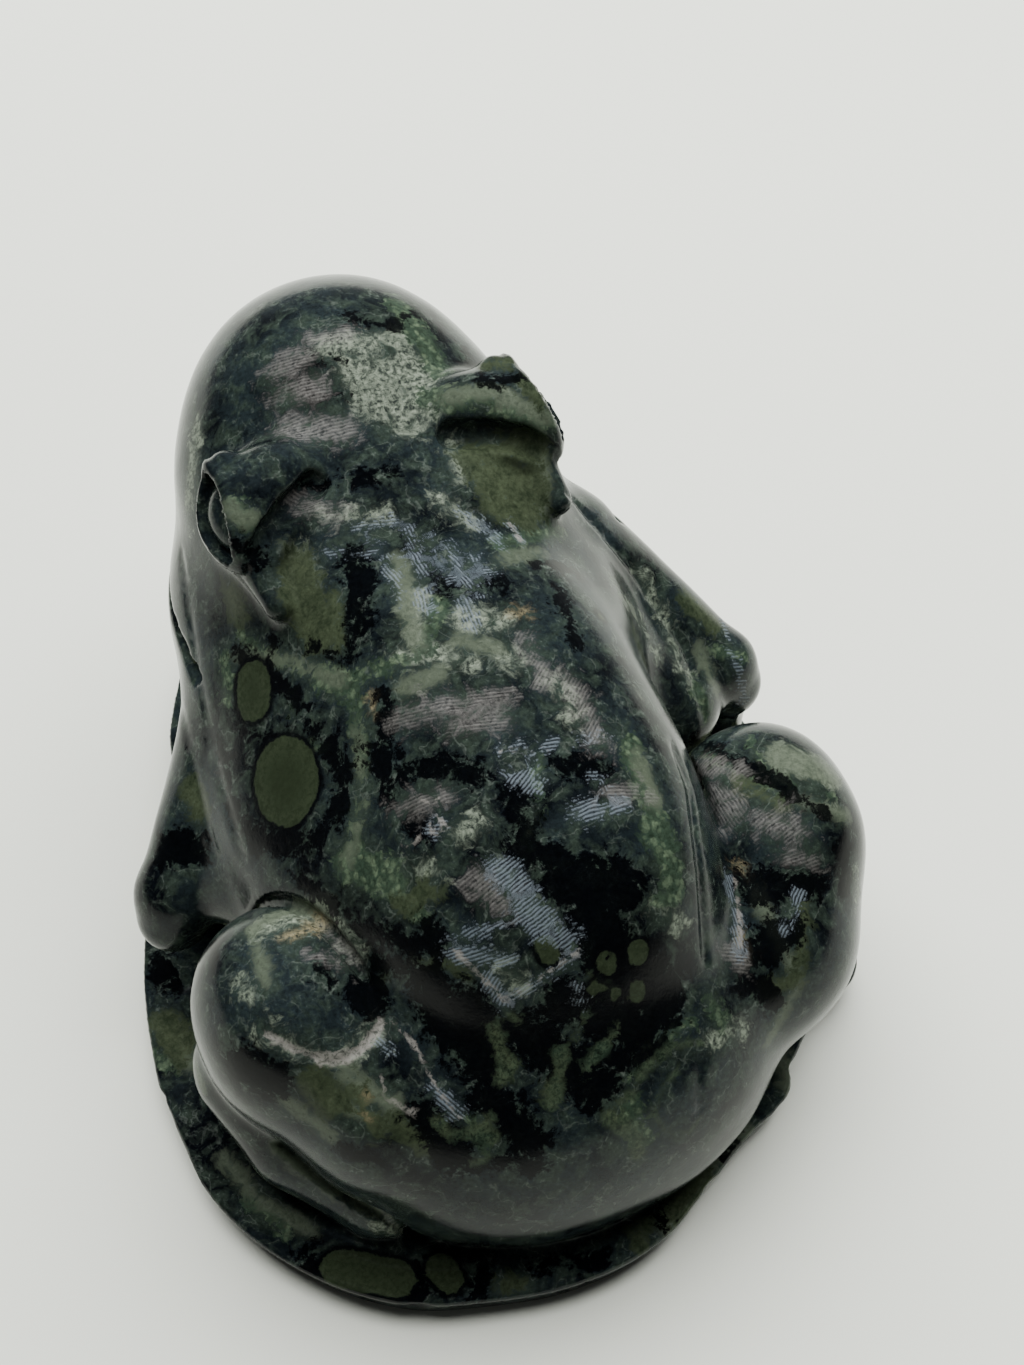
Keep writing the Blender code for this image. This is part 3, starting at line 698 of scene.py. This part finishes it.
# The least and the largest radius of the chance marks of each kind, in millimetres
chanceSizes = {
    "black": (1.0, 3.2), "olive": (0.9, 2.6), "vein": (0.2, 0.6), "orb": (0.8, 2.4), "green": (0.35, 1.2),
    "pale": (0.5, 1.6), "sage": (0.5, 1.8), "amber": (0.3, 0.7), "scar": (0.10, 0.16),
    "pink": (0.5, 1.0), "blue": (0.2, 0.6),
}


def dropLine(tree, points):
    # the parts of a drawn line that meet the stone, as pairs of ends
    dropped = []
    for (ax, ay), (bx, by) in zip(points, points[1:]):
        count = max(1, int(math.hypot(bx - ax, by - ay) / fields["lineStep"]))
        for i in range(count + 1):
            direction = rayThrough(ax + (bx - ax) * i / count, ay + (by - ay) * i / count)
            dropped.append(tree.ray_cast(cameraPlace, direction)[0])
    ends = []
    for a, b in zip(dropped, dropped[1:]):
        if a is not None and b is not None and (b - a).length < fields["jump"]:
            ends.append((a, b))
    return np.array([[tuple(a), tuple(b)] for a, b in ends]).reshape(-1, 2, 3)


def pixelSize(place):
    _, _, back = cameraAxes()
    return (cameraPlace - Vector(place)).dot(back) / view["focalPixels"]


def lineDistance(corners, ends, reach):
    # the distance from each corner near the line to the line, and which corners those are
    low, high = ends.min(axis=(0, 1)) - reach, ends.max(axis=(0, 1)) + reach
    near = np.nonzero(np.all((corners > low) & (corners < high), axis=1))[0]
    best = np.full(len(near), 1.0)
    for a, b in ends:
        run = b - a
        along = np.clip((corners[near] - a) @ run / max(run @ run, 1e-12), 0.0, 1.0)
        best = np.minimum(best, np.linalg.norm(corners[near] - a - along[:, None] * run, axis=1))
    return near, best


def paintField(corners, lines):
    field = np.full(len(corners), fields["farAway"])
    for ends, radius in lines:
        near, away = lineDistance(corners, ends, radius + fields["farAway"])
        field[near] = np.minimum(field[near], away - radius)
    return field


def faceCamera(tree, corners, normals):
    # how squarely each corner faces the camera, or minus one where the stone is in the way
    towards = np.array(cameraPlace) - corners
    towards /= np.linalg.norm(towards, axis=1)[:, None]
    facing = np.sum(normals * towards, axis=1)
    for i in np.nonzero(facing > 0.0)[0]:
        start = Vector(corners[i] + normals[i] * fields["clear"])
        if tree.ray_cast(start, Vector(towards[i]))[0] is not None:
            facing[i] = -1.0
    return facing


def hiddenLines(tree, mesh, kind, facing):
    # chance lines on the sides that the picture doesn't show, in keeping with the rest
    chance = np.random.default_rng(fields["seed"] + len(kind) * 7 + ord(kind[0]))
    handMade = kind in ("scar", "pink", "blue")  # these stay on the frog, off the slab
    lowest = fields["slabTop" if handMade else "underside"]
    share = fields["rareShare" if handMade or kind == "amber" else "usualShare"]
    lines = []
    for _ in range(fields["hiddenMarks"] // share):
        pick = int(chance.integers(len(mesh.vertices)))
        corner = mesh.vertices[pick]
        turn = Vector(chance.normal(size=3)).normalized()
        radius = chance.uniform(*chanceSizes[kind]) * 0.001
        reach = fields["orbReach"] if kind == "orb" else chance.uniform(0.5, 3.5) * radius
        if facing[pick] > fields["turnedAway"] or corner.co.z < lowest:
            continue
        ends = []
        last = corner.co.copy()
        for _ in range(fields["bends"]):
            step = last + turn * reach / 3.0
            place = tree.find_nearest(step)[0]
            ends.append((tuple(last), tuple(place)))
            last = place
        lines.append((np.array(ends), radius))
    return lines


def treeOf(mesh):
    return BVHTree.FromPolygons([v.co for v in mesh.vertices], [tuple(f.vertices) for f in mesh.polygons])


def cornersOf(mesh):
    # the places and the normals of a mesh's corners, in rows
    rows = []
    for name in ("co", "normal"):
        values = np.empty(3 * len(mesh.vertices))
        mesh.vertices.foreach_get(name, values)
        rows.append(values.reshape(-1, 3))
    return rows


def chisel(piece):
    # small cuts and chips in the skin itself, no deeper than a fraction of a millimetre
    mesh = piece.data
    tree = treeOf(mesh)
    corners, normals = cornersOf(mesh)
    sunk = np.zeros(len(corners))
    dents = []
    for depth, radius, *points in cuts["lines"]:
        ends = dropLine(tree, points)
        if len(ends):
            dents.append((depth, ends, radius * pixelSize(ends[0][0])))
    chance = np.random.default_rng(cuts["seed"])
    for turn in np.linspace(0.0, 2.0 * math.pi, cuts["chips"], endpoint=False):
        turn += chance.uniform(-cuts["chipSpread"], cuts["chipSpread"])
        x, y = cuts["outside"] * math.cos(turn), cuts["outside"] * math.sin(turn)
        outside = Vector((x, y, chance.uniform(*cuts["chipHeight"])))
        place = tree.ray_cast(outside, Vector((-outside.x, -outside.y, 0.0)).normalized())[0]
        if place is not None:
            ends = np.array([[tuple(place), tuple(place)]])
            depth = chance.uniform(*cuts["chipDepth"]) * 0.001
            dents.append((depth, ends, chance.uniform(*cuts["chipRadius"]) * 0.001))
    for depth, ends, radius in dents:
        near, away = lineDistance(corners, ends, radius)
        share = np.clip(1.0 - (away / radius) ** 2, 0.0, 1.0) ** 2
        sunk[near] = np.maximum(sunk[near], depth * share)
    keep = corners[:, 2] > cuts["keepFlat"]  # the underside stays flat
    corners[keep] -= normals[keep] * sunk[keep, None]
    mesh.vertices.foreach_set("co", corners.ravel())
    mesh.update()


def storeField(mesh, name, values):
    layer = mesh.attributes.new(name, "FLOAT", "POINT")
    layer.data.foreach_set("value", np.asarray(values, dtype=np.float32))


def markStone(piece):
    mesh = piece.data
    tree = treeOf(mesh)
    corners, normals = cornersOf(mesh)
    facing = faceCamera(tree, corners, normals)
    shrink = fields["fadeOut"] * np.clip(facing, 0.0, 1.0)
    found = {}
    for kind, marks in pattern.items():
        hidden = paintField(corners, hiddenLines(tree, mesh, kind, facing)) + shrink
        lines = []
        for radius, *points in marks:
            ends = dropLine(tree, points)
            if len(ends):
                lines.append((ends, radius * pixelSize(ends[0][0])))
        found[kind] = np.minimum(paintField(corners, lines), hidden)
    cut = corners @ np.array((0.3, 0.8, 0.5))
    nearest = np.full(len(corners), fields["farAway"])
    for kind, marks in unpolished.items():
        field = paintField(corners, hiddenLines(tree, mesh, kind, facing)) + shrink
        nearest = np.minimum(nearest, field)
        for radius, angle, *points in marks:
            ends = dropLine(tree, points)
            if not len(ends):
                continue
            size = radius * pixelSize(ends[0][0])
            near, away = lineDistance(corners, ends, size + fields["farAway"])
            away = away - size
            field[near] = np.minimum(field[near], away)
            across = acrossLines(tree, points[0], angle)
            won = away < nearest[near]
            cut[near[won]] = corners[near[won]] @ across
            nearest[near[won]] = away[won]
        found[kind] = field
    for kind, values in found.items():
        storeField(mesh, kind, values * 1000.0)
    storeField(mesh, "cut", cut * 1000.0)


def acrossLines(tree, pixel, angle):
    # the direction on the stone that runs square to the tool lines
    turn = math.radians(angle)
    reach = 6.0
    ahead = (pixel[0] - reach * math.sin(turn), pixel[1] - reach * math.cos(turn))
    a = tree.ray_cast(cameraPlace, rayThrough(*pixel))[0]
    b = tree.ray_cast(cameraPlace, rayThrough(*ahead))[0]
    if a is None or b is None or (b - a).length > 0.003:
        return np.array(cameraAxes()[1])
    return np.array((b - a).normalized())


# The stone's finish: colours of linear light, and sizes in millimetres
jasper = {
    "slot": "green_jasper",
    "night": (0.0016, 0.0024, 0.0034),
    "slate": (0.0105, 0.0160, 0.0175),
    "moss": (0.024, 0.035, 0.026),
    "veil": (0.080, 0.096, 0.082),
    "black": (0.0008, 0.0011, 0.0016),
    "olive": (0.048, 0.061, 0.034),
    "oliveDeep": (0.015, 0.022, 0.012),
    "orb": (0.024, 0.033, 0.018),
    "orbHeart": (0.016, 0.023, 0.012),
    "green": (0.078, 0.108, 0.066),
    "greenDeep": (0.020, 0.034, 0.022),
    "pale": (0.160, 0.187, 0.140),
    "paleDeep": (0.036, 0.047, 0.037),
    "sage": (0.088, 0.106, 0.074),
    "sageDeep": (0.040, 0.052, 0.036),
    # light scratches, and under the left knee a painted highlight
    "scar": (0.22, 0.21, 0.19),
    "amber": (0.200, 0.172, 0.098),
    # pink and blue: rubbed and scratched stone where the polish missed, partly painted sheen
    "pink": (0.163, 0.158, 0.147),
    "blue": (0.150, 0.182, 0.208),
    "linePitch": 0.28,
    "shine": 0.13,
    "polish": 0.15,
    "unpolished": 0.50,
    "bending": 1.54,      # index of refraction
    "pitDepth": 0.00003,  # in metres
    "pitStrength": 0.5,
}


class Stone(Net):
    # the finish's own ways to lay one mark over another
    def __init__(self, tree):
        super().__init__(tree)
        coordinates = self.nodes.new("ShaderNodeTexCoord")
        self.place = self.vector("SCALE", coordinates.outputs["Object"], 1000.0)
        self.wide = self.noise(self.place, 0.16, 4.0, 0.55)[0]
        middle = self.noise(self.place, 0.62, 6.0, 0.62, 0.6)
        self.middle = middle[0]
        self.fine = self.noise(self.place, 2.6, 6.0, 0.68, 0.4)[0]
        self.drift = self.remap(self.middle, 0.32, 0.68, -0.5, 0.5)
        self.grit = self.remap(self.fine, 0.30, 0.70, -0.5, 0.5)
        shaken = self.vector("ADD", self.place, self.vector("SCALE", middle[1], 1.6))
        self.dots, self.shades = self.cells(shaken, 1.45)

    def field(self, name):
        node = self.nodes.new("ShaderNodeAttribute")
        node.attribute_name = name
        return node.outputs["Fac"]

    def mask(self, name, wander, edge, ragged=0.0):
        # one inside the mark, with an edge that wanders with the grain
        shift = self.number("MULTIPLY_ADD", self.grit, ragged, self.times(self.drift, wander))
        return self.remap(self.number("ADD", self.field(name), shift), edge, -edge, 0.0, 1.0, True)

    def blend(self, factor, a, b):
        node = self.nodes.new("ShaderNodeMix")
        node.data_type = "RGBA"
        self.fill(node.inputs["Factor"], factor)
        sockets = [socket for socket in node.inputs if socket.type == "RGBA"]
        for socket, colour in zip(sockets, (a, b)):
            self.fill(socket, (*jasper[colour], 1.0) if isinstance(colour, str) else colour)
        return [socket for socket in node.outputs if socket.type == "RGBA"][0]

    def cells(self, place, scale):
        # round grains: one in the middle of each, and each grain's own shade
        node = self.nodes.new("ShaderNodeTexVoronoi")
        self.fill(node.inputs["Vector"], place)
        node.inputs["Scale"].default_value = scale
        shade = self.split(node.outputs["Color"])[0]
        return self.remap(node.outputs["Distance"], 0.52, 0.22), shade

    def times(self, *factors):
        total = factors[0]
        for factor in factors[1:]:
            total = self.number("MULTIPLY", total, factor)
        return total


def jasperMaterial():
    material = bpy.data.materials.new("polished_jasper")
    material.use_nodes = True
    net = Stone(material.node_tree)
    shader = net.nodes["Principled BSDF"]
    # the ground: near black, with slate clouds, moss in them and thin pale veils
    colour = net.blend(net.remap(net.wide, 0.38, 0.62), "night", "slate")
    clouds = net.remap(net.middle, 0.45, 0.66)
    colour = net.blend(net.times(clouds, 0.85), colour, "moss")
    specks = net.times(net.remap(net.fine, 0.60, 0.72), net.remap(net.middle, 0.42, 0.60))
    colour = net.blend(net.times(specks, 0.5), colour, "veil")
    ridge = net.noise(net.place, 0.30, 4.0, 0.5, 0.3)[0]
    thread = net.number("ABSOLUTE", net.number("SUBTRACT", ridge, 0.5))
    thread = net.times(net.remap(thread, 0.014, 0.003), net.remap(net.middle, 0.42, 0.58), 0.4)
    colour = net.blend(thread, colour, "veil")
    # pale flecks, sparser towards the edge of each patch; under the left knee two pale marks carry a
    # painted highlight
    flecks = net.remap(net.fine, 0.36, 0.62)
    crumbs = net.remap(net.times(net.dots, net.shades), 0.15, 0.7)
    grain = net.number("MAXIMUM", net.times(flecks, 0.8), crumbs)
    pale = net.times(net.mask("pale", 2.6, 0.6, 1.3), net.remap(net.fine, 0.35, 0.52, 0.25, 1.0))
    colour = net.blend(pale, colour, net.blend(grain, "paleDeep", "pale"))
    # green grains that float in darker stone
    leaf = net.remap(net.number("ADD", net.dots, net.times(net.middle, 0.9)), 0.35, 1.25)
    leaf = net.times(leaf, net.remap(net.shades, 0.0, 1.0, 0.45, 1.0))
    colour = net.blend(net.times(net.mask("green", 1.7, 0.25, 0.9), 0.92), colour,
                       net.blend(leaf, "greenDeep", "green"))
    sage = net.mask("sage", 1.3, 0.5, 0.8)
    soft = net.remap(net.number("ADD", net.middle, net.times(net.fine, 0.8)), 0.60, 1.15)
    colour = net.blend(net.times(sage, 0.9), colour, net.blend(soft, "sageDeep", "sage"))
    olive = net.mask("olive", 1.9, 0.40, 0.7)
    soft = net.remap(net.number("ADD", net.middle, net.times(net.fine, 0.5)), 0.55, 0.95)
    colour = net.blend(net.times(olive, 0.94), colour, net.blend(soft, "oliveDeep", "olive"))
    colour = net.blend(net.times(net.mask("amber", 1.6, 0.5, 1.2), flecks, 0.95), colour, "amber")
    # black: black stone, and in two marks painted shade in the hollows by the right eye
    colour = net.blend(net.times(net.mask("black", 1.9, 0.30, 1.0), 0.95), colour, "black")
    vein = net.times(net.mask("vein", 0.9, 0.25, 0.6), net.remap(net.fine, 0.34, 0.56, 0.45, 0.95))
    colour = net.blend(vein, colour, net.blend(soft, "greenDeep", "olive"))
    orb = net.field("orb")
    wavy = net.number("MULTIPLY_ADD", net.middle, 0.5, orb)
    colour = net.blend(net.times(net.remap(wavy, 0.85, 0.5), 0.9), colour, "black")
    heart = net.remap(net.number("ADD", orb, net.times(net.middle, 1.4)), 0.5, -1.5)
    colour = net.blend(net.mask("orb", 0.25, 0.08, 0.25), colour,
                       net.blend(net.number("MAXIMUM", heart, net.remap(net.fine, 0.62, 0.4, 0.0, 0.8)),
                                 "orb", "orbHeart"))
    even = net.number("MAXIMUM", net.number("MAXIMUM", olive, sage), net.remap(orb, 0.1, -0.1))
    crisp = net.remap(net.fine, 0.32, 0.68, 0.55, 1.5)
    crisp = net.number("ADD", crisp, net.times(even, net.number("SUBTRACT", 1.0, crisp), 0.65))
    colour = net.vector("SCALE", colour, crisp)
    # tool lines: thin bright scratches where the polish missed, their light colour partly painted sheen
    wobble = net.times(net.middle, 0.5)
    phase = net.number("DIVIDE", net.number("ADD", net.field("cut"), wobble),
                       jasper["linePitch"] / (2.0 * math.pi))
    lines = net.remap(net.number("SINE", phase), -0.7, 0.8)
    pink = net.mask("pink", 2.6, 0.8, 1.6)
    blue = net.mask("blue", 1.3, 0.3, 1.3)
    scratchedSheen = net.remap(net.number("ADD", lines, net.times(net.fine, 2.2)), 1.0, 2.1, 0.10, 1.0)
    rubbedSheen = net.number("ADD", net.times(lines, 0.35), net.times(net.fine, 3.0))
    rubbedSheen = net.remap(rubbedSheen, 1.20, 2.15, 0.12, 1.0)
    colour = net.blend(net.times(pink, rubbedSheen, 0.72), colour, "pink")
    colour = net.blend(net.times(blue, scratchedSheen, 0.66), colour, "blue")
    # light scratches, and under the left knee a painted highlight along the groove
    scar = net.mask("scar", 0.35, 0.12, 0.5)
    colour = net.blend(net.times(scar, net.remap(net.fine, 0.36, 0.56, 0.15, 0.9)), colour, "scar")
    net.links.new(colour, shader.inputs["Base Color"])
    dull = net.number("MAXIMUM", pink, blue)
    rough = net.number("MAXIMUM", dull, net.times(net.mask("pale", 2.0, 0.5), 0.5))
    rough = net.remap(rough, 0.0, 1.0, jasper["polish"], jasper["unpolished"])
    rough = net.number("MULTIPLY_ADD", net.number("SUBTRACT", net.fine, 0.5), 0.16, rough)
    net.links.new(rough, shader.inputs["Roughness"])
    shader.inputs["IOR"].default_value = jasper["bending"]
    shader.inputs["Specular IOR Level"].default_value = jasper["shine"]
    bump = net.nodes.new("ShaderNodeBump")
    bump.inputs["Distance"].default_value = jasper["pitDepth"]
    bump.inputs["Strength"].default_value = jasper["pitStrength"]
    uneven = net.number("SUBTRACT", net.fine, 0.5)
    pits = net.number("MULTIPLY_ADD", uneven, 0.8, net.times(net.middle, 1.2))
    net.links.new(net.number("MULTIPLY_ADD", lines, dull, pits), bump.inputs["Height"])
    net.links.new(bump.outputs[0], shader.inputs["Normal"])
    return material


stone = jasperMaterial()
frogPiece = carveFrog(stone)
for face in frogPiece.data.polygons:
    face.use_smooth = True
print("frog carved,", len(frogPiece.data.polygons), "faces")
chisel(frogPiece)
markStone(frogPiece)
print("pattern laid")
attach(frogPiece, "root")
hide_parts(frog["node"])


# The plain table and the light of a small studio
studio = {
    "floorReach": 4.0,
    "floorColour": (0.80, 0.832, 0.738),
    "paintedFloorLight": (-0.94, -0.79, 0.0),  # painted light: lighter towards the far right
    "fadeReach": 0.12,
    "fadeRange": (0.85, 1.14),
    "floorDull": 0.9,
    "floorShine": 0.1,
    "roomDim": 0.045,
    "farWall": 0.30,
    "wallDrop": -0.25,    # how far down the wall's glow is aimed
    "glowEdges": (0.15, 0.75),
    "roomTint": (0.97, 0.98, 1.0, 1.0),
    "skyline": 0.10,      # the room's glow just above the table
    "skylineTop": 0.40,   # where that glow ends, as the height of a direction
    "skyPower": 48.5,
    "skySize": 1.7,
    "skyPlace": (-0.20, -0.42, 0.95),
}


def makeLamp(name, place, size, power):
    light = bpy.data.lights.new(name, "AREA")
    light.shape = "DISK"
    light.size = size
    light.energy = power
    lamp = bpy.data.objects.new(name, light)
    bpy.context.scene.collection.objects.link(lamp)
    lamp.location = place
    lamp.rotation_euler = (-lamp.location).to_track_quat("-Z", "Y").to_euler()
    lamp.visible_glossy = False  # the polish mirrors the room, not the lamp
    return lamp


def makeStudio():
    bpy.ops.mesh.primitive_plane_add(size=2.0 * studio["floorReach"])
    floor = bpy.context.object
    floor.name = "table"
    material = bpy.data.materials.new("pale_table")
    material.use_nodes = True
    shader = material.node_tree.nodes["Principled BSDF"]
    net = Net(material.node_tree)
    place = net.nodes.new("ShaderNodeTexCoord").outputs["Object"]
    # painted light: the table's colour grows lighter towards the far right
    slope = net.vector("DOT_PRODUCT", place, studio["paintedFloorLight"])
    fade = net.remap(slope, -studio["fadeReach"], studio["fadeReach"], *studio["fadeRange"])
    net.links.new(net.vector("SCALE", studio["floorColour"], fade), shader.inputs["Base Color"])
    shader.inputs["Roughness"].default_value = studio["floorDull"]
    shader.inputs["Specular IOR Level"].default_value = studio["floorShine"]
    floor.data.materials.append(material)
    world = bpy.data.worlds.new("room")
    bpy.context.scene.world = world
    world.use_nodes = True
    net = Net(world.node_tree)
    _, _, back = cameraAxes()
    far = (-back.x, -back.y, studio["wallDrop"])
    direction = net.nodes.new("ShaderNodeTexCoord").outputs["Generated"]
    facing = net.vector("DOT_PRODUCT", direction, tuple(Vector(far).normalized()))
    glow = net.remap(facing, *studio["glowEdges"], studio["roomDim"], studio["farWall"], True)
    height = net.split(direction)[2]
    haze = net.remap(height, 0.0, studio["skylineTop"], studio["skyline"], 0.0, True)
    net.links.new(net.number("ADD", glow, haze), net.nodes["Background"].inputs["Strength"])
    net.nodes["Background"].inputs["Color"].default_value = studio["roomTint"]
    makeLamp("sky", studio["skyPlace"], studio["skySize"], studio["skyPower"])


makeStudio()
